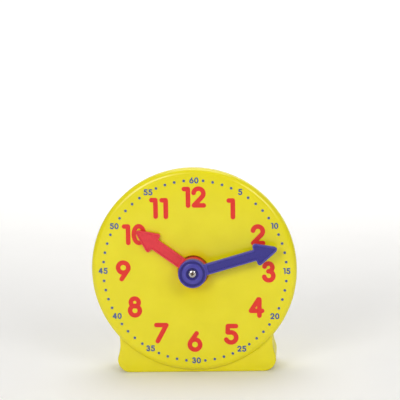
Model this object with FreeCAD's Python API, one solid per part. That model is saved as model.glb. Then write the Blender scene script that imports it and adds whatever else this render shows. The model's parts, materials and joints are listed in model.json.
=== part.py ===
import FreeCAD
import Part

import math
import os

# Geared teaching clock: a round dial on a moulded foot. Turning the minute hand drives the
# hour hand at a twelfth of its speed, through three meshed gears hidden in the case.
#
# Millimetres. +Z is up and the dial looks along -Y. The origin is on the table below the
# hand axis, halfway along the foot. Sizes of the works are given in the dial's own terms:
# x to the right and z up from the hand axis, and depth back from the dial's front face, so
# what stands in front of the dial has a negative depth.

# Dial moulding
dial_diameter = 101.6
dial_plate = 2.0
dial_edge_round = 3.0
skirt_depth = 5.5
skirt_wall = 1.6
hub_gap = 0.6
collar_wall = 2.4
collar_height = 2.0

# Foot
dial_lift = 1.2
foot_setback = 2.5
foot_depth = 26.0
foot_half_width = 39.6
foot_corner_radius = 6.3
waist_radius = 20.0
foot_wall = 1.8
foot_edge_round = 1.0
heel_height = 10.0
heel_round = 3.0
heel_bend_radius = 8.0
brace_height = 36.0

# Back moulding
back_wall = 1.8
works_gap = 1.05
back_edge_round = 3.5
lip_gap = 0.3
lip_seat_gap = 0.3

# Gear teeth: the arbor's pinion turns the idler's wheel, and the idler's pinion the hour wheel
pressure_angle = 20.0
first_module = 1.0
pinion_teeth = 10
idler_teeth = 30
hour_teeth = 40
pinion_shift = 0.4
pinion_addendum = 0.9
wheel_addendum = 0.8
dedendum = 1.25
backlash = 0.14

# Gear bodies
tooth_width = 2.4
layer_gap = 0.4
web_thickness = 1.2
web_rim = 2.4
web_hub_wall = 1.6

# Fits
running_clearance = 0.05
fit_clearance = 0.02

# Shafts
arbor_radius = 3.0
arbor_seat_radius = 2.5
journal_step = 0.1
arbor_stub_radius = 2.3
arbor_stub_length = 1.2
key_flat = 0.5
hour_pipe_wall = 1.5
hour_sleeve_wall = 1.5
idler_pin_radius = 1.5
idler_spigot_radius = 2.9

# Washers
thrust_washer_thickness = 0.4
spacer_thickness = 0.5
drag_washer_radius = 5.0
drag_washer_thickness = 0.25
drag_washer_dish = 0.25

# Gear plate and its posts
plate_thickness = 1.6
plate_margin = 4.6
plate_boss_height = 0.8
plate_boss_wall = 1.5
post_radius = 3.0
post_gap = 0.8
post_rise = 8.0

# Hands
hand_round = 0.3
hub_radius = 7.1
boss_radius = 7.0
hour_arm_gap = 0.5
hour_arm_thickness = 1.6
hour_arm_width = 5.7
hour_hub_height = 3.6
hour_hub_face = 1.0
hour_hub_floor_gap = 0.3
minute_boss_height = 3.8
minute_arm_drop = 0.5
minute_arm_thickness = 2.2
minute_arm_width = 5.4
hour_reach = 33.8
minute_reach = 42.6
head_length = 10.75
head_width = 10.25
head_corner_radius = 1.4
head_tip_radius = 1.6
pocket_rim = 0.85
pocket_depth = 0.5
groove_inner_radius = 5.25
groove_outer_radius = 6.2
groove_depth = 0.9
dish_radius = 3.0
dish_depth = 1.2

# Time shown at rest: the full hour, and the minute hand's angle from the top in degrees
full_hour = 10
minute_angle = 74.4

# Screws
centre_screw_radius = 1.0
centre_head_radius = 2.05
centre_head_height = 1.3
centre_screw_length = 8.0
plate_screw_radius = 0.95
plate_head_radius = 1.9
plate_head_height = 1.2
plate_screw_length = 6.0
case_screw_radius = 1.25
case_head_radius = 2.3
case_head_height = 1.6
case_screw_length = 6.0
screw_tip_gap = 0.8
recess_width = 0.7
recess_share = 0.6

# Screw wells that join the two halves of the case, each side of the top and of the foot
well_angles = (43.0, 138.0)
well_rim_gap = 1.5
well_radius = 3.2
well_wall = 1.3
well_floor = 1.8
well_seat_depth = 7.2
case_boss_radius = 3.2

# Derived sizes
dial_radius = dial_diameter / 2
axis_height = dial_radius + dial_lift
skirt_inner_radius = dial_radius - skirt_wall
hub_hole_radius = hub_radius + hub_gap
back_radius = skirt_inner_radius - lip_gap
dial_face_y = -(foot_setback + foot_depth / 2)
heel_depth = foot_setback + foot_depth

centre_distance = first_module * (pinion_teeth + idler_teeth) / 2
second_module = 2 * centre_distance / (pinion_teeth + hour_teeth)
idler_z = -centre_distance
hour_angle = 30 * full_hour + minute_angle / 12

collar_depth = dial_plate + collar_height
first_layer = collar_depth + thrust_washer_thickness + 2 * running_clearance
second_layer = first_layer + tooth_width + layer_gap
gears_end = second_layer + tooth_width
plate_depth = gears_end + drag_washer_thickness + drag_washer_dish + 3 * running_clearance
plate_back = plate_depth + plate_thickness
plate_boss_back = plate_back + plate_boss_height
case_inner_depth = plate_back + max(plate_boss_height, plate_head_height) + works_gap
back_depth = case_inner_depth + back_wall

# The pinion slides on over the journal, which stays inside the seat's flat.
arbor_journal_radius = arbor_seat_radius - key_flat - journal_step
hour_bore_radius = arbor_radius + running_clearance
hour_pipe_radius = hour_bore_radius + hour_pipe_wall
hour_sleeve_radius = hour_pipe_radius + hour_sleeve_wall
collar_bore_radius = hour_sleeve_radius + running_clearance
hour_hub_back = dial_plate - hour_hub_floor_gap
hour_pipe_front = hour_hub_face - hour_hub_height
minute_boss_back = -(hour_hub_height + spacer_thickness + 2 * running_clearance)
minute_front = minute_boss_back - minute_boss_height
centre_seat = minute_front + dish_depth
well_seat = well_seat_depth + well_floor
well_circle = back_radius - back_wall - well_rim_gap - well_wall - well_radius


def at(x, z, depth):
    """A point given from the hand axis and the dial's face."""
    return FreeCAD.Vector(x, dial_face_y + depth, axis_height + z)


# Shared shapes

def rod(radius, start, end, x=0.0, z=0.0):
    """A round bar between two depths."""
    return Part.makeCylinder(radius, end - start, at(x, z, start), FreeCAD.Vector(0, 1, 0))


def tube(outer, inner, start, end, x=0.0, z=0.0):
    return rod(outer, start, end, x, z).cut(rod(inner, start, end, x, z))


def flatted_rod(radius, flat, start, end, z=0.0, sides=1):
    """A round bar with a flat on its upper side, or on both sides, to key what it carries."""
    bar = rod(radius, start, end, 0, z)
    for side in range(sides):
        waste = Part.makeBox(4 * radius, end - start, 2 * radius, at(-2 * radius, z + radius - flat, start))
        waste.rotate(at(0, z, 0), FreeCAD.Vector(0, 1, 0), 180 * side)
        bar = bar.cut(waste)
    return bar


def line(a, b):
    return Part.makeLine(at(*a, 0), at(*b, 0))


def arc(a, middle, b):
    return Part.Arc(at(*a, 0), at(*middle, 0), at(*b, 0)).toShape()


def polygon(points):
    return [line(points[i - 1], points[i]) for i in range(len(points))]


def polar(radius, angle, x=0.0, z=0.0):
    """The point at an angle in radians, clockwise from the top."""
    return (x + radius * math.sin(angle), z + radius * math.cos(angle))


def prism(edges, start, end):
    """Extrudes a closed outline between two depths."""
    face = Part.Face(Part.Wire(edges))
    face.translate(FreeCAD.Vector(0, start, 0))
    return face.extrude(FreeCAD.Vector(0, end - start, 0))


def turned(profile, x=0.0, z=0.0):
    """Revolves a closed profile about a depthwise axis. A point is (radius, depth), and one
    with a third value rounds its corner by that radius."""
    corners = [at(x + point[0], z, point[1]) for point in profile]
    edges = []
    starts = []
    ends = []
    for i, point in enumerate(profile):
        corner = corners[i]
        size = point[2] if len(point) > 2 else 0
        before = (corners[i - 1] - corner).normalize()
        after = (corners[(i + 1) % len(corners)] - corner).normalize()
        starts.append(corner + before * size)
        ends.append(corner + after * size)
        if size:
            # The corners rounded here are all square ones.
            middle = corner + (before + after) * size * (1 - math.sqrt(0.5))
            edges.append(Part.Arc(starts[i], middle, ends[i]).toShape())
    for i in range(len(profile)):
        edges.append(Part.makeLine(ends[i - 1], starts[i]))
    face = Part.Face(Part.Wire(Part.__sortEdges__(edges)))
    return face.revolve(at(x, z, 0), FreeCAD.Vector(0, 1, 0), 360)


def fused(solids):
    return solids[0].multiFuse(solids[1:]).removeSplitter()


def rounded(shape, radius, chosen):
    """Rounds the edges for which chosen(edge) is true."""
    return shape.makeFillet(radius, [edge for edge in shape.Edges if chosen(edge)])


def lies_at_depth(depth):
    level = dial_face_y + depth

    def test(edge):
        box = edge.BoundBox
        return abs(box.YMin - level) < 1e-4 and abs(box.YMax - level) < 1e-4

    return test


def set_to(shape, clockwise):
    """Turns a shape about the hand axis, clockwise as the dial is read, in degrees."""
    return shape.rotated(at(0, 0, 0), FreeCAD.Vector(0, 1, 0), clockwise)


# Case

def foot_outline(inset, top):
    """The foot seen from the front, inset by a wall and closed at a height above the table.
    Each side is a round corner, a hollow arc, and then the case's own circle, all tangent."""
    corner = foot_corner_radius - inset
    waist = waist_radius + inset
    circle = back_radius - inset
    corner_x = foot_half_width - foot_corner_radius
    corner_z = foot_corner_radius - axis_height
    # The hollow arc's centre is fixed by its distances to the dial's centre and the corner's.
    to_dial = back_radius + waist_radius
    to_corner = foot_corner_radius + waist_radius
    apart = math.hypot(corner_x, corner_z)
    along = (to_dial ** 2 - to_corner ** 2 + apart ** 2) / (2 * apart)
    across = math.sqrt(to_dial ** 2 - along ** 2)
    waist_x = (along * corner_x - across * corner_z) / apart
    waist_z = (along * corner_z + across * corner_x) / apart
    # Angles run clockwise from the top, as everywhere on the dial.
    from_corner = math.atan2(waist_x - corner_x, waist_z - corner_z)
    from_dial = math.atan2(waist_x, waist_z)
    at_top = math.acos((top - axis_height) / circle)
    halfway = (from_corner + from_dial) / 2 + math.pi
    right = [
        (corner_x, inset - axis_height),
        polar(corner, (from_corner + math.pi) / 2, corner_x, corner_z),
        polar(corner, from_corner, corner_x, corner_z),
        polar(waist, halfway, waist_x, waist_z),
        polar(waist, from_dial + math.pi, waist_x, waist_z),
        polar(circle, (from_dial + at_top) / 2),
        polar(circle, at_top),
    ]
    left = [(-x, z) for x, z in right]
    edges = [line(left[0], right[0])]
    for side in (right, left):
        for i in (0, 2, 4):
            edges.append(arc(*side[i:i + 3]))
    edges.append(line(right[6], left[6]))
    return Part.__sortEdges__(edges)


def well_places():
    angles = [math.radians(angle) for angle in well_angles]
    return [polar(well_circle, side * angle) for side in (-1, 1) for angle in angles]


def post_places():
    """One post each side of the hour wheel and one beyond the idler, clockwise from the left."""
    hour_clear = wheel_tip(second_module, hour_teeth) + post_gap + post_radius
    idler_clear = wheel_tip(first_module, idler_teeth) + post_gap + post_radius
    side = math.sqrt(hour_clear ** 2 - post_rise ** 2)
    return [(-side, post_rise), (side, post_rise), (0.0, idler_z - idler_clear)]


def front_foot():
    """The foot's front half, up to the middle of the dial's skirt."""
    skirt_middle = dial_radius - skirt_wall / 2
    foot = prism(foot_outline(0, axis_height), foot_setback, skirt_depth)
    foot = foot.cut(rod(skirt_middle, 0, skirt_depth))
    at_front = lies_at_depth(foot_setback)

    def is_outer(edge):
        middle = edge.valueAt((edge.FirstParameter + edge.LastParameter) / 2)
        return at_front(edge) and math.hypot(middle.x, middle.z - axis_height) > skirt_middle + foot_edge_round / 2

    foot = rounded(foot, foot_edge_round, is_outer)
    inside = foot_outline(foot_wall, axis_height + foot_wall)
    return foot.cut(prism(inside, foot_setback + foot_wall, skirt_depth))


def front_shell():
    dial = turned([
        (hub_hole_radius, 0),
        (dial_radius, 0, dial_edge_round),
        (dial_radius, skirt_depth),
        (skirt_inner_radius, skirt_depth),
        (skirt_inner_radius, dial_plate),
        (hub_hole_radius + collar_wall, dial_plate),
        (hub_hole_radius + collar_wall, collar_depth),
        (collar_bore_radius, collar_depth),
        (collar_bore_radius, dial_plate),
        (hub_hole_radius, dial_plate),
    ])
    solids = [dial, front_foot()]
    boss_end = well_seat_depth - running_clearance
    pin_boss_end = first_layer - 2 * running_clearance
    for x, z in well_places():
        solids.append(rod(case_boss_radius, dial_plate / 2, boss_end, x, z))
    for x, z in post_places():
        solids.append(rod(post_radius, dial_plate / 2, plate_depth, x, z))
    solids.append(rod(2 * idler_pin_radius, dial_plate / 2, pin_boss_end, 0, idler_z))
    shell = fused(solids)
    case_tip = well_seat - case_screw_length - screw_tip_gap
    plate_tip = plate_back - plate_screw_length - screw_tip_gap
    for x, z in well_places():
        shell = shell.cut(rod(case_screw_radius + fit_clearance, case_tip, boss_end, x, z))
    for x, z in post_places():
        shell = shell.cut(rod(plate_screw_radius + fit_clearance, plate_tip, plate_depth, x, z))
    return shell.cut(rod(idler_pin_radius + fit_clearance, dial_plate, pin_boss_end, 0, idler_z))


def brace(inset, front):
    """The wedge that stands the clock up: the foot's outline run back, under a slope that
    comes down from the case's back and rounds over into the heel."""
    top = brace_height + foot_corner_radius - inset
    lean = math.atan2(heel_depth - back_depth, brace_height - heel_height)
    bend = heel_bend_radius - inset
    bend_depth = heel_depth - heel_bend_radius
    bend_height = heel_height - heel_bend_radius * math.tan(lean / 2)
    reach = 2 * dial_diameter

    def on_bend(angle, beyond=0.0):
        """A point of the bend as depth and height, or one further up the slope's line."""
        depth = bend_depth + bend * math.cos(angle) - beyond * math.sin(angle)
        height = bend_height + bend * math.sin(angle) + beyond * math.cos(angle)
        return FreeCAD.Vector(-reach, dial_face_y + depth, height)

    low = on_bend(0) - FreeCAD.Vector(0, 0, reach)
    high = on_bend(lean, reach)
    front_low = FreeCAD.Vector(-reach, dial_face_y - reach, low.z)
    front_high = FreeCAD.Vector(-reach, dial_face_y - reach, high.z)
    edges = [
        Part.makeLine(low, on_bend(0)),
        Part.Arc(on_bend(0), on_bend(lean / 2), on_bend(lean)).toShape(),
        Part.makeLine(on_bend(lean), high),
        Part.makeLine(high, front_high),
        Part.makeLine(front_high, front_low),
        Part.makeLine(front_low, low),
    ]
    side = Part.Face(Part.Wire(edges)).extrude(FreeCAD.Vector(2 * reach, 0, 0))
    return side.common(prism(foot_outline(inset, top), front, heel_depth))


def is_heel(edge):
    """The brace's outer back edges: not those that touch its front or run straight across."""
    box = edge.BoundBox
    behind = box.YMin > dial_face_y + skirt_depth + foot_wall
    across = box.ZMax - box.ZMin < 1e-4 and box.ZMin > heel_height / 4
    return behind and not across


def rear_shell():
    lip_front = dial_plate + lip_seat_gap
    inner_radius = back_radius - back_wall
    inner_round = max(back_edge_round - back_wall, back_wall / 4)
    outer = turned([
        (0, lip_front),
        (back_radius, lip_front),
        (back_radius, back_depth, back_edge_round),
        (0, back_depth),
    ])
    inner = turned([
        (0, 0),
        (inner_radius, 0),
        (inner_radius, case_inner_depth, inner_round),
        (0, case_inner_depth),
    ])
    outside = outer.fuse(rounded(brace(0, skirt_depth), heel_round, is_heel))
    shell = outside.cut(inner).cut(brace(foot_wall, 0))
    for x, z in well_places():
        column = rod(well_radius + well_wall, well_seat_depth, heel_depth, x, z)
        shell = shell.fuse(column.common(outside))
    for x, z in well_places():
        shell = shell.cut(rod(well_radius, well_seat, heel_depth, x, z))
        shell = shell.cut(rod(case_screw_radius + running_clearance, 0, heel_depth, x, z))
    return shell.removeSplitter()


# Gear teeth

def wheel_tip(module, teeth):
    return module * (teeth / 2 + wheel_addendum - pinion_shift)


def wheel_root(module, teeth):
    return module * (teeth / 2 - dedendum - pinion_shift)


def pinion_tip(module):
    return module * (pinion_teeth / 2 + pinion_addendum + pinion_shift)


def pinion_root(module):
    return module * (pinion_teeth / 2 - dedendum + pinion_shift)


def gear_outline(module, teeth, shift, tip, z, tooth_on_top):
    """A ring of involute teeth, with a tooth or a space on top."""
    angle = math.radians(pressure_angle)
    pitch = module * teeth / 2
    base = pitch * math.cos(angle)
    root = module * (teeth / 2 - dedendum + shift)
    flank_foot = max(root, base)
    half_tooth = (math.pi / 2 + 2 * shift * math.tan(angle)) / teeth - backlash / 4 / pitch
    half_tooth += math.tan(angle) - angle

    def flank(middle, side):
        """The root corner, and three points of the involute out to the tip."""
        points = []
        for share in (0, 0.4, 1):
            radius = flank_foot + (tip - flank_foot) * share
            roll = math.acos(base / radius)
            points.append(polar(radius, middle + side * (half_tooth - math.tan(roll) + roll), 0, z))
        roll = math.acos(base / flank_foot)
        corner = polar(root, middle + side * (half_tooth - math.tan(roll) + roll), 0, z)
        return [corner] + points

    step = 2 * math.pi / teeth
    start = 0 if tooth_on_top else step / 2
    edges = []
    for tooth in range(teeth):
        middle = start + tooth * step
        rise = flank(middle, -1)
        fall = flank(middle, 1)
        if flank_foot > root:
            edges.append(line(rise[0], rise[1]))
            edges.append(line(fall[1], fall[0]))
        edges.append(arc(*rise[1:]))
        edges.append(line(rise[3], fall[3]))
        edges.append(arc(*fall[:0:-1]))
        edges.append(line(fall[0], flank(middle + step, -1)[0]))
    return Part.__sortEdges__(edges)


def gear(module, teeth, is_pinion, start, z, tooth_on_top):
    shift = pinion_shift if is_pinion else -pinion_shift
    tip = pinion_tip(module) if is_pinion else wheel_tip(module, teeth)
    outline = gear_outline(module, teeth, shift, tip, z, tooth_on_top)
    return prism(outline, start, start + tooth_width)


def thinned_web(wheel, module, teeth, hub, start, z):
    """Sinks a ring into both faces of a wheel, between its rim and its hub."""
    sink = (tooth_width - web_thickness) / 2
    rim = wheel_root(module, teeth) - web_rim
    for depth in (start, start + tooth_width - sink):
        wheel = wheel.cut(tube(rim, hub, depth, depth + sink, 0, z))
    return wheel


# Works

def is_even(teeth):
    return teeth % 2 == 0


def minute_pinion():
    """A tooth points down at the idler, and with an even number one points up as well."""
    pinion = gear(first_module, pinion_teeth, True, second_layer, 0, is_even(pinion_teeth))
    seat = arbor_seat_radius + fit_clearance
    return pinion.cut(set_to(flatted_rod(seat, key_flat, second_layer, gears_end), minute_angle))


def minute_arbor():
    """The shaft, keyed by flats to the pinion behind and to the minute hand in front."""
    stub_front = minute_boss_back - arbor_stub_length
    overlap = tooth_width / 4
    arbor = fused([
        rod(arbor_radius, minute_boss_back, second_layer),
        flatted_rod(arbor_seat_radius, key_flat, second_layer - overlap, gears_end),
        rod(arbor_journal_radius, gears_end - overlap, plate_boss_back),
        flatted_rod(arbor_stub_radius, key_flat, stub_front, minute_boss_back + overlap),
    ])
    pilot_end = centre_seat + centre_screw_length + screw_tip_gap
    arbor = arbor.cut(rod(centre_screw_radius + fit_clearance, stub_front, pilot_end))
    return set_to(arbor, minute_angle)


def idler_pinion():
    """Drives the hour wheel, and is keyed into the idler's wheel by a spigot with two flats."""
    pinion = gear(second_module, pinion_teeth, True, first_layer, idler_z, True)
    shoulder = rod(pinion_root(second_module), first_layer + tooth_width, second_layer, 0, idler_z)
    spigot = flatted_rod(idler_spigot_radius, key_flat, second_layer, gears_end, idler_z, 2)
    bore = rod(idler_pin_radius + running_clearance, first_layer, gears_end, 0, idler_z)
    return fused([pinion, shoulder, spigot]).cut(bore)


def idler_wheel():
    wheel = gear(first_module, idler_teeth, False, second_layer, idler_z, False)
    hub = idler_spigot_radius + web_hub_wall
    wheel = thinned_web(wheel, first_module, idler_teeth, hub, second_layer, idler_z)
    socket_radius = idler_spigot_radius + fit_clearance
    socket = flatted_rod(socket_radius, key_flat, second_layer, gears_end, idler_z, 2)
    return wheel.cut(socket)


def idler_pin():
    return rod(idler_pin_radius, dial_plate + fit_clearance, plate_boss_back, 0, idler_z)


def idler_washer():
    """Takes up the room between the idler and the gear plate."""
    start = gears_end + running_clearance
    inner = idler_pin_radius + 2 * running_clearance
    return tube(idler_spigot_radius, inner, start, plate_depth - running_clearance, 0, idler_z)


def hour_wheel():
    """The wheel, the sleeve that turns in the dial's collar, and the pipe to the hour hand."""
    # A space faces down to the idler, and with an even number one faces up as well.
    wheel = gear(second_module, hour_teeth, False, first_layer, 0, not is_even(hour_teeth))
    hub = hour_sleeve_radius + web_hub_wall
    wheel = thinned_web(wheel, second_module, hour_teeth, hub, first_layer, 0)
    sleeve = rod(hour_sleeve_radius, hour_hub_back, first_layer)
    pipe = flatted_rod(hour_pipe_radius, key_flat, hour_pipe_front, hour_hub_back)
    pipe = set_to(pipe, hour_angle)
    bore = rod(hour_bore_radius, hour_pipe_front, first_layer + tooth_width)
    return fused([wheel, sleeve, pipe]).cut(bore)


def thrust_washer():
    start = collar_depth + running_clearance
    inner = hour_sleeve_radius + 2 * running_clearance
    return tube(hub_hole_radius + collar_wall, inner, start, start + thrust_washer_thickness)


def drag_washer():
    """A dished spring washer that presses the arbor forward, so the hands stay where set."""
    front = gears_end + running_clearance
    inner = arbor_journal_radius + 2 * running_clearance
    thickness = drag_washer_thickness
    return turned([
        (inner, front),
        (drag_washer_radius, front + drag_washer_dish),
        (drag_washer_radius, front + drag_washer_dish + thickness),
        (inner, front + thickness),
    ])


def gear_plate():
    """A three-cornered plate on posts, with bosses round the arbor's journal and the pin."""
    places = post_places()
    count = len(places)
    headings = []
    for i, place in enumerate(places):
        after = places[(i + 1) % count]
        headings.append(math.atan2(after[0] - place[0], after[1] - place[1]) - math.pi / 2)
    edges = []
    starts = []
    ends = []
    for i, (x, z) in enumerate(places):
        before = headings[i - 1]
        after = headings[i]
        while after < before:
            after += 2 * math.pi
        starts.append(polar(plate_margin, before, x, z))
        ends.append(polar(plate_margin, after, x, z))
        edges.append(arc(starts[i], polar(plate_margin, (before + after) / 2, x, z), ends[i]))
    for i in range(count):
        edges.append(line(ends[i - 1], starts[i]))
    solids = [prism(Part.__sortEdges__(edges), plate_depth, plate_back)]
    bores = [(arbor_journal_radius + running_clearance, 0), (idler_pin_radius + fit_clearance, idler_z)]
    for bore, z in bores:
        solids.append(rod(bore + plate_boss_wall, plate_depth, plate_boss_back, 0, z))
    plate = fused(solids)
    for bore, z in bores:
        plate = plate.cut(rod(bore, plate_depth, plate_boss_back, 0, z))
    for x, z in places:
        plate = plate.cut(rod(plate_screw_radius + running_clearance, plate_depth, plate_back, x, z))
    return plate


# Hands

def hand_outline(reach, width, start, inset):
    """Arm and arrowhead pointing up, drawn inside their edge by the inset."""
    slant = math.atan2(head_width / 2, head_length)
    # The sharp tip lies beyond the rounded one.
    tip = reach + head_tip_radius * (1 / math.sin(slant) - 1) - inset / math.sin(slant)
    shoulder = reach - head_length
    base = shoulder + inset
    head_half = (tip - base) * math.tan(slant)
    right = [(width / 2 - inset, start), (width / 2 - inset, base), (head_half, base)]
    left = [(-x, z) for x, z in right]
    return right + [(0, tip)] + left[::-1]


def stands_on(corners):
    def test(edge):
        ends = [vertex.Point for vertex in edge.Vertexes]
        if len(ends) != 2 or abs(ends[0].y - ends[1].y) < 1e-6:
            return False
        return any(math.hypot(ends[0].x - x, ends[0].z - axis_height - z) < 1e-3 for x, z in corners)

    return test


def hand_blade(reach, width, start, front, thickness):
    """An arm and arrowhead with round corners, and a pocket sunk inside a raised rim."""
    outline = hand_outline(reach, width, start, 0)
    blade = prism(polygon(outline), front, front + thickness)
    blade = rounded(blade, head_corner_radius, stands_on([outline[2], outline[4]]))
    blade = rounded(blade, head_tip_radius, stands_on([outline[3]]))
    inner = hand_outline(reach, width, boss_radius + pocket_rim, pocket_rim)
    pocket = prism(polygon(inner), front, front + pocket_depth)
    pocket = rounded(pocket, head_tip_radius / 2, stands_on([inner[3]]))
    return blade.cut(pocket)


def hour_hand():
    front = -(hour_arm_gap + hour_arm_thickness)
    hub = rod(hub_radius, -hour_hub_height, hour_hub_back - fit_clearance)
    hub = rounded(hub, hand_round, lies_at_depth(-hour_hub_height))
    blade = hand_blade(hour_reach, hour_arm_width, hub_radius / 2, front, hour_arm_thickness)
    hand = fused([blade, hub])
    socket_front = hour_pipe_front - fit_clearance
    hand = hand.cut(flatted_rod(hour_pipe_radius + fit_clearance, key_flat, socket_front, hour_hub_back))
    hand = hand.cut(rod(hour_bore_radius + running_clearance, -hour_hub_height, hour_hub_back))
    return set_to(hand, hour_angle)


def hand_spacer():
    """Keeps the two hands from dragging each other round."""
    start = -(hour_hub_height + running_clearance + spacer_thickness)
    return tube(hour_pipe_radius, arbor_radius + 2 * running_clearance, start, start + spacer_thickness)


def minute_hand():
    front = minute_front + minute_arm_drop
    boss = rod(boss_radius, minute_front, minute_boss_back)
    boss = rounded(boss, hand_round, lies_at_depth(minute_front))
    blade = hand_blade(minute_reach, minute_arm_width, groove_outer_radius, front, minute_arm_thickness)
    hand = fused([blade, boss])
    hand = hand.cut(tube(groove_outer_radius, groove_inner_radius, minute_front, minute_front + groove_depth))
    hand = hand.cut(rod(dish_radius, minute_front, centre_seat))
    hand = hand.cut(rod(centre_screw_radius + running_clearance, centre_seat, minute_boss_back))
    stub_front = minute_boss_back - arbor_stub_length - fit_clearance
    socket = flatted_rod(arbor_stub_radius + fit_clearance, key_flat, stub_front, minute_boss_back)
    return set_to(hand.cut(socket), minute_angle)


# Screws

def screw(radius, head_radius, head_height, length, x, z, seat, inward):
    """A pan-head screw with a cross recess. inward is 1 where it is driven from the front."""
    head = seat - inward * head_height
    tip = seat + inward * length
    body = turned([
        (0, head),
        (head_radius, head, head_height / 2),
        (head_radius, seat),
        (radius, seat),
        (radius, tip),
        (0, tip),
    ], x, z)
    arm = recess_share * head_radius
    floor = head + inward * recess_share * head_height
    for half_x, half_z in ((arm, recess_width / 2), (recess_width / 2, arm)):
        corner = at(x - half_x, z - half_z, min(head, floor))
        body = body.cut(Part.makeBox(2 * half_x, abs(floor - head), 2 * half_z, corner))
    return body


def centre_screw():
    return screw(
        centre_screw_radius, centre_head_radius, centre_head_height, centre_screw_length,
        0, 0, centre_seat, 1)


def plate_screws():
    return Part.makeCompound([
        screw(plate_screw_radius, plate_head_radius, plate_head_height, plate_screw_length,
              x, z, plate_back, -1)
        for x, z in post_places()
    ])


def case_screws():
    return Part.makeCompound([
        screw(case_screw_radius, case_head_radius, case_head_height, case_screw_length,
              x, z, well_seat, -1)
        for x, z in well_places()
    ])


pieces = [
    front_shell, rear_shell, case_screws,
    gear_plate, plate_screws,
    minute_pinion, minute_arbor, drag_washer,
    idler_pin, idler_pinion, idler_wheel, idler_washer,
    hour_wheel, thrust_washer,
    hour_hand, hand_spacer, minute_hand, centre_screw,
]

os.makedirs("parts", exist_ok=True)
for piece in pieces:
    shape = piece()
    shape.exportStep("parts/" + piece.__name__ + ".step")
    print(piece.__name__, len(shape.Solids), "valid" if shape.isValid() else "INVALID", round(shape.Volume, 1))
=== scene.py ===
import json
import math

import bmesh
import bpy
from mathutils import Matrix, Vector


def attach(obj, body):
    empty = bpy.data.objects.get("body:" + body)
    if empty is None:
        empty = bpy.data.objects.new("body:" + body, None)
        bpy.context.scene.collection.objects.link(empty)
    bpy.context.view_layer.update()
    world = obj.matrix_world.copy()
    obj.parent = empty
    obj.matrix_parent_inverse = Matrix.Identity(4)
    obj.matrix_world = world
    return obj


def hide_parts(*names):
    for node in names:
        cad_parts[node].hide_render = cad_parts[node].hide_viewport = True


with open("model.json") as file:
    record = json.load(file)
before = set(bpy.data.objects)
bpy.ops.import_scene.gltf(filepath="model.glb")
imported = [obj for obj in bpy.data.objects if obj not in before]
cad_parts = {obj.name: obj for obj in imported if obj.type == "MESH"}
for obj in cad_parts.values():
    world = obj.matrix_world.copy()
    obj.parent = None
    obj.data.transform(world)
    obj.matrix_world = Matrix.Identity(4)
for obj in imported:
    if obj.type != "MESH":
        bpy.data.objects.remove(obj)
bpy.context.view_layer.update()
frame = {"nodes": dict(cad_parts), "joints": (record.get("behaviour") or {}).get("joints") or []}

# Geared teaching clock. Pieces are drawn in millimetres as the dial is read: x right, y up
# and z out towards the reader, all from the hand axis on the dial's front face. The stage,
# the lights and the camera are placed in metres, in the room.
scene = bpy.context.scene
handAxis = Vector(frame["joints"][0]["pos_m"])
dialToRoom = (
    Matrix.Translation(handAxis)
    @ Matrix.Rotation(math.radians(90), 4, "X")
    @ Matrix.Scale(0.001, 4)
)


def linearColour(hexText):
    shares = [int(hexText[i:i + 2], 16) / 255 for i in (0, 2, 4)]
    return [s / 12.92 if s <= 0.04045 else ((s + 0.055) / 1.055) ** 2.4 for s in shares] + [1.0]


def addNode(material, kind, settings=None, links=None):
    node = material.node_tree.nodes.new(kind)
    for name, value in (settings or {}).items():
        if isinstance(name, int) or name in node.inputs:
            node.inputs[name].default_value = value
        else:
            setattr(node, name, value)
    for name, source in (links or {}).items():
        material.node_tree.links.new(source, node.inputs[name])
    return node


def emptyMaterial(name):
    material = bpy.data.materials.new(name)
    material.use_nodes = True
    material.node_tree.nodes.clear()
    return material


def finishMaterial(material, settings, links):
    shader = addNode(material, "ShaderNodeBsdfPrincipled", settings, links)
    output = addNode(material, "ShaderNodeOutputMaterial")
    material.node_tree.links.new(shader.outputs["BSDF"], output.inputs["Surface"])
    return material


def unevenTint(material, place, look, contrast):
    # A slow drift between two near tints, over patches of the given size in millimetres.
    patches = addNode(material, "ShaderNodeTexNoise", {
        "Scale": 1000 / look["patchSize"], "Detail": 4.0, "Roughness": 0.6,
    }, {"Vector": place})
    spread = addNode(material, "ShaderNodeMapRange", {
        "From Min": 0.5 - contrast, "From Max": 0.5 + contrast,
    }, {"Value": patches.outputs["Fac"]})
    return addNode(material, "ShaderNodeMix", {
        "data_type": "RGBA", 6: linearColour(look["low"]), 7: linearColour(look["high"]),
    }, {"Factor": spread.outputs["Result"]}).outputs[2]


def fineSurface(material, place, look, detail, breakUp):
    # A grain of the given size and depth in millimetres, which also stirs the gloss.
    grain = addNode(material, "ShaderNodeTexNoise", {
        "Scale": 1000 / look["grainSize"], "Detail": detail, "Roughness": breakUp,
    }, {"Vector": place})
    gloss = addNode(material, "ShaderNodeMapRange", {
        "From Min": 0.3, "From Max": 0.7, "To Min": look["gloss"][0], "To Max": look["gloss"][1],
    }, {"Value": grain.outputs["Fac"]})
    relief = addNode(material, "ShaderNodeBump", {
        "Strength": 1.0, "Distance": look["grainDepth"] / 1000,
    }, {"Height": grain.outputs["Fac"]})
    return {"Roughness": gloss.outputs["Result"], "Normal": relief.outputs["Normal"]}


def mouldedPlastic(name, look):
    # Injection-moulded plastic: an even body colour, a fine mould grain and a soft gloss.
    material = emptyMaterial(name)
    place = addNode(material, "ShaderNodeTexCoord").outputs["Object"]
    links = fineSurface(material, place, look, detail=3.0, breakUp=0.55)
    links["Base Color"] = unevenTint(material, place, look, contrast=0.22)
    return finishMaterial(material, {
        "IOR": look["ior"], "Subsurface Weight": look["translucency"],
        "Subsurface Radius": (1.0, 0.6, 0.3), "Subsurface Scale": 0.002,
    }, links)


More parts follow.
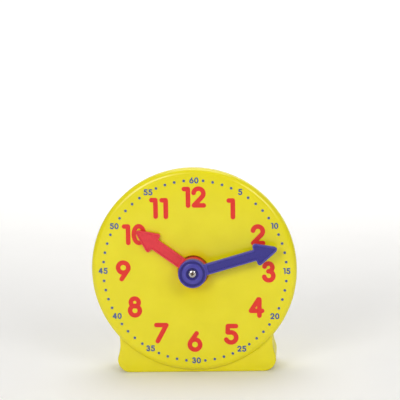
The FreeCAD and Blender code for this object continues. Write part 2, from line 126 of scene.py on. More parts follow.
def padPrintInk(name, look):
    # Pad-printed ink: thin, slightly uneven and duller than the plastic that carries it.
    material = emptyMaterial(name)
    place = addNode(material, "ShaderNodeTexCoord").outputs["Object"]
    links = fineSurface(material, place, look, detail=2.0, breakUp=0.5)
    links["Base Color"] = unevenTint(material, place, look, contrast=0.18)
    return finishMaterial(material, {"IOR": 1.48}, links)


def platedMetal(name, look):
    # Plated or drawn steel: bright, with fine turning marks and faintly uneven plating.
    material = emptyMaterial(name)
    place = addNode(material, "ShaderNodeTexCoord").outputs["Object"]
    links = fineSurface(material, place, look, detail=4.0, breakUp=0.7)
    links["Base Color"] = unevenTint(material, place, look, contrast=0.25)
    return finishMaterial(material, {"Metallic": 1.0}, links)


# High-gloss ABS, which shows a clear sheen on the dial's rounded edge.
dialAbs = mouldedPlastic("glossy moulded ABS yellow", {
    "low": "E6D804", "high": "ECDF0C", "patchSize": 14, "grainSize": 0.35, "grainDepth": 0.0002,
    "gloss": (0.21, 0.26), "ior": 1.53, "translucency": 0.08,
})
# The back half comes out of a duller mould.
rearAbs = mouldedPlastic("satin moulded ABS yellow", {
    "low": "E6D804", "high": "ECDF0C", "patchSize": 12, "grainSize": 0.3, "grainDepth": 0.0012,
    "gloss": (0.44, 0.54), "ior": 1.53, "translucency": 0.08,
})
# The hands' ABS is satin, with a faint speckle from the mould's spark-eroded face.
hourAbs = mouldedPlastic("satin moulded ABS red", {
    "low": "E02C38", "high": "E83642", "patchSize": 3, "grainSize": 0.22, "grainDepth": 0.0012,
    "gloss": (0.32, 0.42), "ior": 1.53, "translucency": 0.05,
})
minuteAbs = mouldedPlastic("satin moulded ABS blue", {
    "low": "3D3798", "high": "4640A6", "patchSize": 2, "grainSize": 0.22, "grainDepth": 0.0012,
    "gloss": (0.26, 0.36), "ior": 1.53, "translucency": 0.03,
})
# The sunk fields are sparked rougher than the polished rims round them, and their darker colour is
# painted shade, standing in for the shade of the rim walls.
minuteFieldShade = mouldedPlastic("spark-textured ABS blue with painted shade", {
    "low": "28207C", "high": "332B90", "patchSize": 0.9, "grainSize": 0.3, "grainDepth": 0.006,
    "gloss": (0.45, 0.58), "ior": 1.53, "translucency": 0.03,
})
hourFieldShade = mouldedPlastic("spark-textured ABS red with painted shade", {
    "low": "DA2634", "high": "E63240", "patchSize": 1.2, "grainSize": 0.3, "grainDepth": 0.005,
    "gloss": (0.42, 0.55), "ior": 1.53, "translucency": 0.05,
})
# Natural acetal is milky white and waxy, and the sheet nylon beside it is greyer and duller.
gearAcetal = mouldedPlastic("natural moulded acetal", {
    "low": "E2E1DA", "high": "ECEBE4", "patchSize": 5, "grainSize": 0.3, "grainDepth": 0.003,
    "gloss": (0.38, 0.48), "ior": 1.48, "translucency": 0.1,
})
washerNylon = mouldedPlastic("punched nylon sheet", {
    "low": "D2D1C8", "high": "DEDDD4", "patchSize": 4, "grainSize": 0.4, "grainDepth": 0.004,
    "gloss": (0.45, 0.55), "ior": 1.53, "translucency": 0.1,
})
# The ink dries to a thin satin film.
redInk = padPrintInk("red pad-print ink", {
    "low": "DE2616", "high": "E83020", "patchSize": 3, "grainSize": 0.4, "grainDepth": 0.004,
    "gloss": (0.34, 0.46),
})
blueInk = padPrintInk("blue pad-print ink", {
    "low": "40558A", "high": "4C6096", "patchSize": 1.5, "grainSize": 0.3, "grainDepth": 0.004,
    "gloss": (0.34, 0.46),
})
# Zinc is bright on the head; in the driver's recess it is dull and brown, painted shade that darkens the
# recess, with a brown tint of dirt.
screwZinc = platedMetal("bright zinc-plated steel", {
    "low": "B8B4B2", "high": "CECAC8", "patchSize": 1.2, "grainSize": 0.15, "grainDepth": 0.003,
    "gloss": (0.18, 0.34),
})
recessShadeZinc = platedMetal("zinc darkened by painted shade in the driver recess", {
    "low": "6A5846", "high": "8A7660", "patchSize": 0.6, "grainSize": 0.15, "grainDepth": 0.003,
    "gloss": (0.45, 0.6),
})
# Bare drawn and stamped steel is greyer than the plating and has longer marks.
springSteel = platedMetal("plain spring steel", {
    "low": "8C8E92", "high": "A2A4A8", "patchSize": 2, "grainSize": 0.2, "grainDepth": 0.003,
    "gloss": (0.28, 0.42),
})
print("materials made")


# Corners closer than this, in millimetres, count as one place.
samePlace = 1e-4


def edgesWhere(mesh, test):
    return [edge for edge in mesh.edges if all(test(vert.co) for vert in edge.verts)]


def ringAt(radius, height):
    # A test for corners on a level ring about the hand axis.
    def test(co):
        off = math.hypot(co.x, co.y) - radius
        return abs(off) < 10 * samePlace and abs(co.z - height) < 10 * samePlace
    return test


def cornersIn(geom):
    return [thing for thing in geom if isinstance(thing, bmesh.types.BMVert)]


def roundEdges(mesh, edges, size, segments):
    bmesh.ops.bevel(
        mesh, geom=edges, offset=size, offset_type="OFFSET", segments=segments,
        profile=0.5, affect="EDGES", material=-1, clamp_overlap=True)


def turnedPart(profile, steps):
    # Spins a profile of (radius, height) points. One that starts and ends on the axis stays open there.
    mesh = bmesh.new()
    verts = [mesh.verts.new((radius, 0, height)) for radius, height in profile]
    edges = [mesh.edges.new(pair) for pair in zip(verts, verts[1:])]
    if profile[0][0] > 0 or profile[-1][0] > 0:
        edges.append(mesh.edges.new((verts[-1], verts[0])))
    bmesh.ops.spin(
        mesh, geom=verts + edges, cent=(0, 0, 0), axis=(0, 0, 1),
        angle=math.tau, steps=steps, use_merge=True)
    bmesh.ops.remove_doubles(mesh, verts=mesh.verts, dist=samePlace)
    bmesh.ops.recalc_face_normals(mesh, faces=mesh.faces)
    return mesh


def raisedFace(mesh, faces, height):
    # Extrudes flat faces along z and gives back the new ones.
    made = bmesh.ops.extrude_face_region(mesh, geom=faces)["geom"]
    bmesh.ops.translate(mesh, verts=cornersIn(made), vec=(0, 0, height))
    bmesh.ops.recalc_face_normals(mesh, faces=mesh.faces)
    return [thing for thing in made if isinstance(thing, bmesh.types.BMFace)]


def joined(parts):
    # Puts several meshes in one, freeing them.
    whole = parts[0]
    for part in parts[1:]:
        data = bpy.data.meshes.new("joining")
        part.to_mesh(data)
        whole.from_mesh(data)
        part.free()
        bpy.data.meshes.remove(data)
    return whole


def sortByPlace(mesh):
    # Operators leave a mesh in an order that varies between runs, and a Boolean's triangles follow it.
    def place(thing):
        corners = [thing] if isinstance(thing, bmesh.types.BMVert) else thing.verts
        return [round(sum(vert.co[i] for vert in corners) / len(corners), 4) for i in range(3)]
    for things in (mesh.verts, mesh.edges, mesh.faces):
        rank = {thing: number for number, thing in enumerate(sorted(things, key=place))}
        things.sort(key=rank.get)


def combined(base, tool, operation):
    # Applies one exact Boolean. With no tool, the base's own overlapping parts are united.
    holder = bpy.data.collections.new("tools")
    things = []
    for mesh in (base, tool):
        if mesh is None:
            continue
        sortByPlace(mesh)
        data = bpy.data.meshes.new("working")
        mesh.to_mesh(data)
        mesh.free()
        things.append(bpy.data.objects.new("working", data))
    scene.collection.objects.link(things[0])
    scene.collection.children.link(holder)
    if tool is not None:
        holder.objects.link(things[1])
    cut = things[0].modifiers.new("cut", "BOOLEAN")
    cut.operation = operation
    cut.operand_type = "COLLECTION"
    cut.collection = holder
    cut.solver = "EXACT"
    cut.use_self = True
    shown = bpy.context.evaluated_depsgraph_get()
    data = bpy.data.meshes.new_from_object(things[0].evaluated_get(shown))
    result = bmesh.new()
    result.from_mesh(data)
    bpy.data.meshes.remove(data)
    for thing in things:
        data = thing.data
        bpy.data.objects.remove(thing)
        bpy.data.meshes.remove(data)
    bpy.data.collections.remove(holder)
    return result


# Edges that turn through more than this stay crisp.
sharpAngle = math.radians(32)


def finishPiece(mesh, name, materials, body, replaces=None, clockwise=0.0):
    # Smooths all but the sharp edges and puts the piece in its place in the room.
    bmesh.ops.remove_doubles(mesh, verts=mesh.verts, dist=samePlace)
    bmesh.ops.dissolve_degenerate(mesh, dist=samePlace, edges=mesh.edges)
    bmesh.ops.recalc_face_normals(mesh, faces=mesh.faces)
    for face in mesh.faces:
        face.smooth = True
    for edge in mesh.edges:
        edge.smooth = len(edge.link_faces) == 2 and edge.calc_face_angle() < sharpAngle
    turn = Matrix.Rotation(math.radians(-clockwise), 4, "Z")
    bmesh.ops.transform(mesh, matrix=dialToRoom @ turn, verts=mesh.verts)
    data = bpy.data.meshes.new(name)
    mesh.to_mesh(data)
    mesh.free()
    for material in materials:
        data.materials.append(material)
    piece = bpy.data.objects.new(name, data)
    scene.collection.objects.link(piece)
    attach(piece, body)
    if replaces:
        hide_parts(replaces)


# The dial and the front half of the foot are one moulding.
dialShape = {
    "radius": 50.8, "plate": 2.0, "edgeRound": 3.0, "skirtDepth": 5.5, "skirtInner": 49.2,
    "hubHole": 7.7, "holeRound": 0.25, "collarOuter": 10.1, "collarDepth": 4.0, "collarBore": 6.1,
    "facets": 256,
}
footShape = {
    "bottom": -52.0, "front": -2.5, "halfWidth": 39.6, "cornerRadius": 6.3, "waistRadius": 20.0,
    "caseRadius": 48.9, "edgeRound": 1.0, "skirtOverlap": 0.8, "cutAhead": 1.0, "cutBehind": 0.5,
    "stepsPerArc": 24,
}


def dialMoulding():
    d = dialShape
    mesh = turnedPart([
        (d["hubHole"], 0), (d["radius"], 0), (d["radius"], -d["skirtDepth"]),
        (d["skirtInner"], -d["skirtDepth"]), (d["skirtInner"], -d["plate"]),
        (d["collarOuter"], -d["plate"]), (d["collarOuter"], -d["collarDepth"]),
        (d["collarBore"], -d["collarDepth"]), (d["collarBore"], -d["plate"]),
        (d["hubHole"], -d["plate"]),
    ], d["facets"])
    roundEdges(mesh, edgesWhere(mesh, ringAt(d["radius"], 0)), d["edgeRound"], segments=8)
    roundEdges(mesh, edgesWhere(mesh, ringAt(d["hubHole"], 0)), d["holeRound"], segments=3)
    return mesh


def footOutline():
    # Half the outline is swept arc by arc from the bottom corner: corner, hollow waist, case.
    f = footShape
    corner = Vector((f["halfWidth"] - f["cornerRadius"], f["bottom"] + f["cornerRadius"], 0))
    toCase = f["caseRadius"] + f["waistRadius"]
    toCorner = f["cornerRadius"] + f["waistRadius"]
    along = (toCase ** 2 - toCorner ** 2 + corner.length_squared) / (2 * corner.length)
    across = math.sqrt(toCase ** 2 - along ** 2)
    ahead = corner.normalized()
    waist = ahead * along + Vector((-ahead.y, ahead.x, 0)) * across
    towards = waist - corner
    cornerEnd = math.atan2(towards.y, towards.x)
    waistEnd = math.atan2(-waist.y, -waist.x)
    sweeps = [
        (corner, cornerEnd + math.pi / 2),
        (waist, waistEnd - (cornerEnd + math.pi)),
        (Vector(), math.pi - waistEnd),
    ]
    mesh = bmesh.new()
    start = mesh.verts.new((0, f["bottom"], 0))
    tip = mesh.verts.new((corner.x, f["bottom"], 0))
    mesh.edges.new((start, tip))
    for centre, angle in sweeps:
        swept = bmesh.ops.spin(
            mesh, geom=[tip], cent=centre, axis=(0, 0, 1), angle=angle, steps=f["stepsPerArc"])
        tip = cornersIn(swept["geom_last"])[0]
    middle = mesh.verts.new((0, 0, 0))
    mesh.edges.new((tip, middle))
    mesh.edges.new((middle, start))
    bmesh.ops.edgeloop_fill(mesh, edges=mesh.edges)
    half = mesh.verts[:] + mesh.edges[:] + mesh.faces[:]
    bmesh.ops.mirror(mesh, geom=half, axis="X", merge_dist=samePlace)
    seam = edgesWhere(mesh, lambda co: abs(co.x) < samePlace)
    bmesh.ops.dissolve_edges(mesh, edges=seam, use_verts=True)
    return mesh


def footMoulding():
    # The foot ends inside the dial's skirt, so the disc's room is cut out of it.
    f, d = footShape, dialShape
    mesh = footOutline()
    bmesh.ops.translate(mesh, verts=mesh.verts, vec=(0, 0, -d["skirtDepth"]))
    raisedFace(mesh, mesh.faces[:], f["front"] + d["skirtDepth"])
    front = edgesWhere(mesh, lambda co: abs(co.z - f["front"]) < samePlace)
    belowAxis = [edge for edge in front if min(vert.co.y for vert in edge.verts) < -10 * samePlace]
    roundEdges(mesh, belowAxis, f["edgeRound"], segments=5)
    room = d["radius"] - f["skirtOverlap"]
    ahead, behind = f["cutAhead"], -d["skirtDepth"] - f["cutBehind"]
    disc = turnedPart([(0, ahead), (room, ahead), (room, behind), (0, behind)], d["facets"])
    return combined(mesh, disc, "DIFFERENCE")


# Blind-bored bosses on the back of the dial: four take the case screws, three carry the gear
# plate and one holds the idler's pin. Depths are taken back from the dial's face.
bossShape = {
    "case": {
        "radius": 3.2, "end": 7.15, "bore": 1.27, "boreFloor": 2.2,
        "places": [(-28.03, 30.06), (28.03, 30.06), (-27.5, -30.54), (27.5, -30.54)],
    },
    "plate": {
        "radius": 3.0, "end": 10.35, "bore": 0.97, "boreFloor": 5.15,
        "places": [(-18.46, 8.0), (18.46, 8.0), (0, -39.2)],
    },
    "pin": {"radius": 3.0, "end": 4.4, "bore": 1.52, "boreFloor": 2.0, "places": [(0, -20.0)]},
}
bossFacets = 48


def dialBosses():
    bosses = []
    root = -dialShape["plate"] / 2
    for b in bossShape.values():
        for x, y in b["places"]:
            boss = turnedPart([
                (0, root), (b["radius"], root), (b["radius"], -b["end"]),
                (b["bore"], -b["end"]), (b["bore"], -b["boreFloor"]), (0, -b["boreFloor"]),
            ], bossFacets)
            bmesh.ops.translate(boss, verts=boss.verts, vec=(x, y, 0))
            bosses.append(boss)
    return bosses


frontMoulding = combined(joined([dialMoulding(), *dialBosses()]), footMoulding(), "UNION")
finishPiece(frontMoulding, "dial_and_foot_front", [dialAbs], "root", "front_shell")
print("dial and foot made")

# Hands: a blade with a sunk field inside a raised rim, and a round hub or boss.
handHead = {"length": 10.75, "width": 10.25, "cornerRound": 1.4, "tipRound": 1.6, "neckRound": 0.5}
minuteHandShape = {
    "reach": 42.6, "start": 6.2, "pocketStart": 7.85, "back": 5.3, "front": 7.5, "arm": 5.4,
    "rim": 0.85, "pocketDepth": 0.5, "edgeRound": 0.25, "time": 74.35,
}
hourHandShape = {
    "reach": 33.8, "start": 3.55, "pocketStart": 7.85, "back": 0.5, "front": 2.1, "arm": 5.7,
    "rim": 0.85, "pocketDepth": 0.5, "edgeRound": 0.25, "time": 306.6,
}


def handBlade(h):
    head = handHead
    slant = math.atan2(head["width"] / 2, head["length"])
    sharpTip = h["reach"] + head["tipRound"] * (1 / math.sin(slant) - 1)
    base = h["reach"] - head["length"]
    side, barb = h["arm"] / 2, (sharpTip - base) * math.tan(slant)
    right = [(side, h["start"]), (side, base), (barb, base)]
    outline = right + [(0, sharpTip)] + [(-x, y) for x, y in reversed(right)]
    mesh = bmesh.new()
    verts = [mesh.verts.new((x, y, h["back"])) for x, y in outline]
    mesh.faces.new(verts)
    cornerHalf = (math.pi / 2 - slant) / 2
    for picked, size in (
        ([verts[2], verts[4]], head["cornerRound"] / math.tan(cornerHalf)),
        ([verts[3]], head["tipRound"] / math.tan(slant)),
        ([verts[1], verts[5]], head["neckRound"]),
    ):
        bmesh.ops.bevel(
            mesh, geom=picked, offset=size, offset_type="OFFSET", segments=7,
            profile=0.5, affect="VERTICES", material=-1, clamp_overlap=True)
    top = raisedFace(mesh, mesh.faces[:], h["front"] - h["back"])
    bmesh.ops.inset_region(mesh, faces=top, thickness=h["rim"], use_even_offset=True)
    # The sunk field starts clear of the hub, so its two nearest corners are moved out.
    near = sorted({vert for face in top for vert in face.verts}, key=lambda vert: vert.co.y)[:2]
    for vert in near:
        vert.co.y = h["pocketStart"]
    # The sunk field takes slot 1, whose darker colour is painted shade.
    for face in raisedFace(mesh, top, -h["pocketDepth"]):
        face.material_index = 1
    # The extruded face stays behind as a lid, which is taken off.
    bmesh.ops.delete(mesh, geom=top, context="FACES_ONLY")
    bmesh.ops.recalc_face_normals(mesh, faces=mesh.faces)
    return mesh


def roundedBlade(h):
    mesh = handBlade(h)
    rimEdges = edgesWhere(mesh, lambda co: abs(co.z - h["front"]) < samePlace)
    # Both edges of the rim's top are rounded, but not the lines that the inset left between them.
    rimEdges = [e for e in rimEdges if any(abs(face.normal.z) < 0.5 for face in e.link_faces)]
    roundEdges(mesh, rimEdges, h["edgeRound"], segments=3)
    return mesh


minuteBoss = {
    "radius": 7.0, "back": 4.2, "front": 8.0, "grooveOuter": 6.2, "grooveInner": 5.25,
    "grooveDepth": 0.9, "crown": 0.3, "dish": 3.0, "seat": 6.8, "bore": 1.05, "socket": 2.32,
    "socketFront": 5.42, "rimRound": 0.3, "facets": 128,
}
hourHub = {
    "radius": 7.1, "back": -1.68, "front": 3.6, "bore": 3.1, "socket": 4.57, "socketFront": 2.58,
    "rimRound": 0.35, "facets": 128,
}


def minuteBossTurned():
    b = minuteBoss
    floor = b["front"] - b["grooveDepth"]
    mesh = turnedPart([
        (b["socket"], b["back"]), (b["radius"], b["back"]), (b["radius"], b["front"]),
        (b["grooveOuter"], b["front"]), (b["grooveOuter"], floor), (b["grooveInner"], floor),
        (b["grooveInner"], b["front"] - b["crown"]), (b["dish"], b["front"]), (b["dish"], b["seat"]),
        (b["bore"], b["seat"]), (b["bore"], b["socketFront"]), (b["socket"], b["socketFront"]),
    ], b["facets"])
    # The groove and the dish take the blade's sunk-field material, rough and with a darker colour that
    # is painted shade in these hollows.
    margin = 0.1
    for face in mesh.faces:
        middle = face.calc_center_median()
        sunk = b["socketFront"] < middle.z < b["front"] - b["crown"]
        if sunk and b["bore"] + margin < middle.xy.length < b["radius"] - margin:
            face.material_index = 1
    for ring in ("radius", "grooveOuter", "grooveInner", "dish"):
        height = b["front"] - (b["crown"] if ring == "grooveInner" else 0)
        roundEdges(mesh, edgesWhere(mesh, ringAt(b[ring], height)), b["rimRound"], segments=4)
    return mesh


def hourHubTurned():
    b = hourHub
    mesh = turnedPart([
        (b["socket"], b["back"]), (b["radius"], b["back"]), (b["radius"], b["front"]),
        (b["bore"], b["front"]), (b["bore"], b["socketFront"]), (b["socket"], b["socketFront"]),
    ], b["facets"])
    roundEdges(mesh, edgesWhere(mesh, ringAt(b["radius"], b["front"])), b["rimRound"], segments=4)
    return mesh


minuteHandMesh = combined(minuteBossTurned(), roundedBlade(minuteHandShape), "UNION")
finishPiece(
    minuteHandMesh, "minute_hand_moulding", [minuteAbs, minuteFieldShade], "minute",
    "minute_hand", minuteHandShape["time"])
hourHandMesh = combined(hourHubTurned(), roundedBlade(hourHandShape), "UNION")
finishPiece(
    hourHandMesh, "hour_hand_moulding", [hourAbs, hourFieldShade], "hour",
    "hour_hand", hourHandShape["time"])
print("hands made")

screwShape = {
    "seat": 6.8, "head": 2.05, "top": 8.1, "rim": 0.75, "rimRound": 0.5,
    "crown": 1.271, "crownDrop": 0.12, "shank": 1.0, "tip": -1.2, "point": 0.35, "pointLength": 1.2,
    "recess": 1.2, "recessWidth": 0.78, "recessFloor": 7.2, "taper": (0.6, 0.8),
    "clockwise": 28.0, "facets": 64,
}


def centreScrewTurned():
    s = screwShape
    rim = s["seat"] + s["rim"]
    mesh = turnedPart([
        (0, s["tip"]), (s["point"], s["tip"]), (s["shank"], s["tip"] + s["pointLength"]),
        (s["shank"], s["seat"]), (s["head"], s["seat"]), (s["head"], rim),
        (s["crown"], s["top"] - s["crownDrop"]), (0, s["top"]),
    ], s["facets"])
    roundEdges(mesh, edgesWhere(mesh, ringAt(s["head"], rim)), s["rimRound"], segments=5)
    # The recess is a cross of two bars that taper towards its floor.
    size = (2 * s["recess"], s["recessWidth"], 2 * (s["top"] - s["recessFloor"]))
    cross = []
    for turn in (0, 90):
        bar = bmesh.new()
        bmesh.ops.create_cube(bar, size=1)
        bmesh.ops.scale(bar, vec=size, verts=bar.verts)
        bmesh.ops.scale(bar, vec=(*s["taper"], 1), verts=[vert for vert in bar.verts if vert.co.z < 0])
        bmesh.ops.translate(bar, vec=(0, 0, s["top"]), verts=bar.verts)
        bmesh.ops.rotate(bar, verts=bar.verts, matrix=Matrix.Rotation(math.radians(turn), 3, "Z"))
        # The recess faces take the darker zinc, which is painted shade.
        for face in bar.faces:
            face.material_index = 1
        cross.append(bar)
    return combined(mesh, joined(cross), "DIFFERENCE")


finishPiece(
    centreScrewTurned(), "centre_screw_head", [screwZinc, recessShadeZinc], "minute",
    "centre_screw", minuteHandShape["time"] + screwShape["clockwise"])
print("centre screw made")

# Numerals are strokes with round ends, each drawn from its own lower left corner.
# A run is a chain of points, a bend an arc (centre, radius, from, to) and a ring a closed bowl.
digitStrokes = {
    "0": [("ring", (3.6, 5.15), (2.54, 4.15))],
    "1": [("run", [(1.06, 9.24), (3.0, 9.24), (3.0, 1.06)])],
    "2": [("bend", (3.4, 6.9), 2.4, 172, -44), ("run", [(5.13, 5.23), (1.1, 1.06), (5.9, 1.06)])],
    "3": [("bend", (3.35, 7.4), 1.95, 168, -90), ("bend", (3.5, 3.2), 2.25, 90, -168)],
    "4": [("run", [(4.95, 9.24), (1.3, 3.5), (6.75, 3.5)]), ("run", [(5.4, 9.24), (5.4, 1.06)])],
    "5": [
        ("run", [(5.9, 9.24), (1.95, 9.24), (1.8, 6.0), (3.4, 6.0)]),
        ("bend", (3.42, 3.5), 2.58, 90, -155),
    ],
    "6": [("ring", (3.6, 3.56), (2.58, 2.58)), ("run", [(4.5, 9.3), (1.45, 4.95)])],
    "7": [("run", [(1.06, 9.24), (6.0, 9.24), (1.6, 1.06)])],
    "8": [("ring", (3.52, 7.55), (1.95, 1.95)), ("ring", (3.52, 3.4), (2.42, 2.42))],
    "9": [("ring", (3.55, 6.76), (2.54, 2.54)), ("run", [(2.65, 1.0), (5.66, 5.4)])],
}
# The sizes at which the digits were drawn.
digitDrawing = {
    "height": 10.3, "stroke": 2.12,
    "width": {
        "0": 7.2, "1": 4.05, "2": 6.95, "3": 6.9, "4": 7.7,
        "5": 6.9, "6": 7.1, "7": 7.1, "8": 7.05, "9": 7.1,
    },
}
# The film is drawn a little thick so that its edge shows.
inkFilm = {"proud": 0.035, "sunk": 0.015, "discFacets": 16, "ringFacets": 40, "bendStep": 8}


def inkDisc(x, y, radius, facets=inkFilm["discFacets"]):
    mesh = bmesh.new()
    bmesh.ops.create_cone(
        mesh, cap_ends=True, segments=facets, radius1=radius, radius2=radius,
        depth=inkFilm["proud"] + inkFilm["sunk"])
    bmesh.ops.translate(mesh, verts=mesh.verts, vec=(x, y, (inkFilm["proud"] - inkFilm["sunk"]) / 2))
    return mesh


def inkBar(a, b, width):
    # A bar between two points, with a disc on each end.
    mesh = joined([inkDisc(*a, width / 2), inkDisc(*b, width / 2)])
    bmesh.ops.convex_hull(mesh, input=mesh.verts)
    return mesh


def inkRing(centre, radii, width):
    # The room between two loops is filled and raised.
    mesh = bmesh.new()
    loops = []
    for grow in (width / 2, -width / 2):
        loop = bmesh.ops.create_circle(mesh, segments=inkFilm["ringFacets"], radius=1)["verts"]
        bmesh.ops.scale(mesh, vec=(radii[0] + grow, radii[1] + grow, 1), verts=loop)
        loops += loop
    bmesh.ops.translate(mesh, verts=loops, vec=(*centre, -inkFilm["sunk"]))
    bmesh.ops.bridge_loops(mesh, edges=mesh.edges)
    raisedFace(mesh, mesh.faces[:], inkFilm["proud"] + inkFilm["sunk"])
    return mesh


def inkBend(centre, radius, start, end, width):
    # A flat bar's end face is swung about the arc's centre.
    mesh = bmesh.new()
    inner, outer = radius - width / 2, radius + width / 2
    low, high = -inkFilm["sunk"], inkFilm["proud"]
    profile = [(inner, low), (outer, low), (outer, high), (inner, high)]
    mesh.faces.new([mesh.verts.new((r, 0, z)) for r, z in profile])
    bmesh.ops.rotate(mesh, verts=mesh.verts, matrix=Matrix.Rotation(math.radians(start), 3, "Z"))
    bmesh.ops.spin(
        mesh, geom=mesh.verts[:] + mesh.edges[:] + mesh.faces[:], cent=(0, 0, 0), axis=(0, 0, 1),
        angle=math.radians(end - start), steps=round(abs(end - start) / inkFilm["bendStep"]))
    bmesh.ops.recalc_face_normals(mesh, faces=mesh.faces)
    bmesh.ops.translate(mesh, verts=mesh.verts, vec=(*centre, 0))
    ends = [
        (centre[0] + radius * math.cos(math.radians(a)), centre[1] + radius * math.sin(math.radians(a)))
        for a in (start, end)
    ]
    return joined([mesh] + [inkDisc(x, y, width / 2) for x, y in ends])


digitShapes = {}


def unitedDigit(digit, scale, width):
    def scaled(point):
        return (point[0] * scale, point[1] * scale)
    parts = []
    for kind, *stroke in digitStrokes[digit]:
        if kind == "run":
            points = [scaled(point) for point in stroke[0]]
            parts += [inkBar(a, b, width) for a, b in zip(points, points[1:])]
        elif kind == "ring":
            parts.append(inkRing(scaled(stroke[0]), scaled(stroke[1]), width))
        else:
            parts.append(inkBend(scaled(stroke[0]), scale * stroke[1], stroke[2], stroke[3], width))
    return combined(joined(parts), None, "UNION")


def inkDigit(digit, x, y, scale, width):
    # Each digit's strokes are united once, and copied wherever it is printed.
    if (digit, scale) not in digitShapes:
        united = unitedDigit(digit, scale, width)
        digitShapes[(digit, scale)] = bpy.data.meshes.new("digit")
        united.to_mesh(digitShapes[(digit, scale)])
        united.free()
    mesh = bmesh.new()
    mesh.from_mesh(digitShapes[(digit, scale)])
    bmesh.ops.translate(mesh, verts=mesh.verts, vec=(x, y, 0))
    return mesh


# The pad hit the dial a little right of and below its centre, and slightly turned.
printDrift = {"right": 0.57, "up": -0.33, "clockwise": 0.9}
hourNumerals = {
    "strokeWidth": 2.32,
    "places": [
        ("1", -5.77, 31.77), ("2", -1.0, 31.87), ("1", 16.13, 26.02), ("2", 27.84, 13.13),
        ("3", 32.92, -5.32), ("4", 26.3, -23.22), ("5", 14.14, -36.7), ("6", -3.94, -40.5),
        ("7", -20.45, -36.32), ("8", -33.47, -23.17), ("9", -38.88, -4.86), ("1", -35.56, 13.25),
        ("0", -30.83, 13.33), ("1", -21.78, 26.35), ("1", -16.75, 26.26),
    ],
}
minuteNumerals = {
    "height": 3.05, "strokeWidth": 0.67, "gap": 0.26,
    "places": {
        "60": (0.26, 45.24), "5": (22.74, 39.49), "10": (39.42, 22.7), "15": (45.27, 0.25),
        "20": (39.3, -22.41), "25": (22.87, -38.92), "30": (0.29, -44.98), "35": (-22.56, -38.94),
        "40": (-38.95, -22.52), "45": (-45.47, 0.3), "50": (-39.36, 22.68), "55": (-22.37, 39.48),
    },
}
minuteDots = {"ring": 45.25, "radius": 0.68, "facets": 20}


def hourNumeralInk():
    h = hourNumerals
    return joined([inkDigit(digit, x, y, 1.0, h["strokeWidth"]) for digit, x, y in h["places"]])


def minuteNumeralInk():
    # Strokes are thinner here, so the drawn centre lines fill more of the height.
    m = minuteNumerals
    stroke = digitDrawing["stroke"]
    scale = (m["height"] - m["strokeWidth"]) / (digitDrawing["height"] - stroke)
    inset = (m["strokeWidth"] - stroke * scale) / 2
    parts = []
    for text, (x, y) in m["places"].items():
        bottom = y - m["height"] / 2
        widths = [(digitDrawing["width"][digit] - stroke) * scale + m["strokeWidth"] for digit in text]
        left = x - (sum(widths) + m["gap"] * (len(text) - 1)) / 2
        for digit, width in zip(text, widths):
            parts.append(inkDigit(digit, left + inset, bottom + inset, scale, m["strokeWidth"]))
            left += width + m["gap"]
    return joined(parts)


def minuteDotInk():
    # A dot for each minute that has no numeral.
    d = minuteDots
    angles = [math.radians(6 * minute) for minute in range(60) if minute % 5]
    return joined([
        inkDisc(d["ring"] * math.sin(angle), d["ring"] * math.cos(angle), d["radius"], d["facets"])
        for angle in angles
    ])


def printedPiece(mesh, name, ink):
    bmesh.ops.translate(mesh, verts=mesh.verts, vec=(printDrift["right"], printDrift["up"], 0))
    finishPiece(mesh, name, [ink], "root", clockwise=printDrift["clockwise"])


printedPiece(hourNumeralInk(), "hour_numerals", redInk)
printedPiece(minuteNumeralInk(), "minute_numerals", blueInk)
printedPiece(minuteDotInk(), "minute_dots", blueInk)
print("dial print made")

# The works and the back keep their own shapes and take their finish here.
worksFinish = {
    "rear_shell": rearAbs, "case_screws": screwZinc, "gear_plate": gearAcetal, "plate_screws": screwZinc,
    "minute_pinion": gearAcetal, "minute_arbor": gearAcetal, "drag_washer": springSteel,
    "idler_pin": springSteel, "idler_pinion": gearAcetal, "idler_wheel": gearAcetal,
    "idler_washer": washerNylon, "hour_wheel": gearAcetal, "thrust_washer": washerNylon,
    "hand_spacer": washerNylon,
}
for node, material in worksFinish.items():
    data = frame["nodes"][node].data
    data.materials.clear()
    data.materials.append(material)
print("works finished")

stageLook = {
    "low": "F4F3F1", "high": "F7F6F4", "patchSize": 120, "roughness": 0.85,
    "front": -9.0, "halfWidth": 9.0, "wallHeight": 1.2,
    "bendStart": 0.7, "bendRadius": 0.35, "bendSteps": 24,
    "world": "FFFFFF", "worldStrength": 0.26,
}


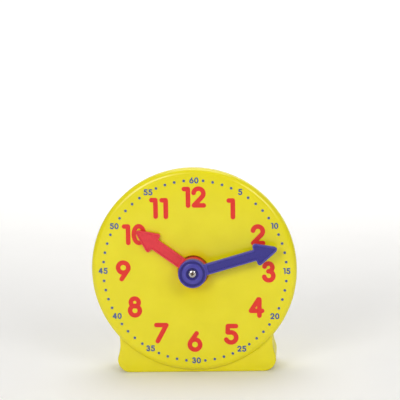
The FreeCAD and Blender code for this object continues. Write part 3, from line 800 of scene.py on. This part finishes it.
def floorAndBackdrop():
    # A sheet that runs back over the table and sweeps up behind the clock.
    s = stageLook
    mesh = bmesh.new()
    tip = mesh.verts.new((0, s["front"], 0))
    end = mesh.verts.new((0, s["bendStart"], 0))
    mesh.edges.new((tip, end))
    swept = bmesh.ops.spin(
        mesh, geom=[end], cent=(0, s["bendStart"], s["bendRadius"]), axis=(1, 0, 0),
        angle=math.pi / 2, steps=s["bendSteps"])
    top = cornersIn(swept["geom_last"])
    raised = bmesh.ops.extrude_vert_indiv(mesh, verts=top)["verts"]
    bmesh.ops.translate(mesh, verts=raised, vec=(0, 0, s["wallHeight"]))
    made = bmesh.ops.extrude_edge_only(mesh, edges=mesh.edges[:])["geom"]
    bmesh.ops.translate(mesh, verts=cornersIn(made), vec=(2 * s["halfWidth"], 0, 0))
    bmesh.ops.translate(mesh, verts=mesh.verts, vec=(-s["halfWidth"], 0, 0))
    bmesh.ops.recalc_face_normals(mesh, faces=mesh.faces)
    for face in mesh.faces:
        face.smooth = True
    data = bpy.data.meshes.new("floor")
    mesh.to_mesh(data)
    mesh.free()
    floor = bpy.data.objects.new("floor", data)
    scene.collection.objects.link(floor)
    paper = emptyMaterial("matt white paper")
    place = addNode(paper, "ShaderNodeTexCoord").outputs["Object"]
    tint = unevenTint(paper, place, s, contrast=0.3)
    finishMaterial(paper, {"Roughness": s["roughness"]}, {"Base Color": tint})
    data.materials.append(paper)


# Two raised softboxes in front throw the hands' soft shadows downwards.
studioLights = {
    "left softbox": {
        "place": (-0.37, -0.8, 0.42), "target": (0, 0, 0.05), "size": 0.42, "watts": 2.9, "spread": 180,
    },
    "right softbox": {
        "place": (0.5, -0.68, 0.5), "target": (0, 0, 0.05), "size": 0.42, "watts": 2.1, "spread": 180,
    },
    "overhead": {
        "place": (0, 0.25, 1.25), "target": (0, 0.25, 0), "size": 1.0, "watts": 7.0, "spread": 180,
    },
    "backdrop": {
        "place": (0, 0.55, 1.2), "target": (0, 1.0, 0.2), "size": 0.8, "watts": 2.0, "spread": 80,
    },
}


def areaLight(name, look):
    lamp = bpy.data.lights.new(name, "AREA")
    lamp.shape = "DISK"
    lamp.size = look["size"]
    lamp.energy = look["watts"]
    lamp.spread = math.radians(look["spread"])
    light = bpy.data.objects.new(name, lamp)
    light.location = look["place"]
    towards = Vector(look["target"]) - Vector(look["place"])
    light.rotation_euler = towards.to_track_quat("-Z", "Y").to_euler()
    scene.collection.objects.link(light)


floorAndBackdrop()
for name, look in studioLights.items():
    areaLight(name, look)

world = bpy.data.worlds.new("studio")
world.use_nodes = True
background = world.node_tree.nodes["Background"]
background.inputs["Color"].default_value = linearColour(stageLook["world"])
background.inputs["Strength"].default_value = stageLook["worldStrength"]
scene.world = world
scene.view_settings.view_transform = "Standard"

cameraPlace = {
    "location": (0.053756, -0.682583, 0.186718), "rotation": (81.534, 1.665, 3.997),
    "lens": 124.68, "sensor": 36,
}
lens = bpy.data.cameras.new("camera")
lens.lens = cameraPlace["lens"]
lens.sensor_width = cameraPlace["sensor"]
camera = bpy.data.objects.new("camera", lens)
camera.location = cameraPlace["location"]
camera.rotation_euler = [math.radians(angle) for angle in cameraPlace["rotation"]]
scene.collection.objects.link(camera)
scene.camera = camera
print("lights and camera set")
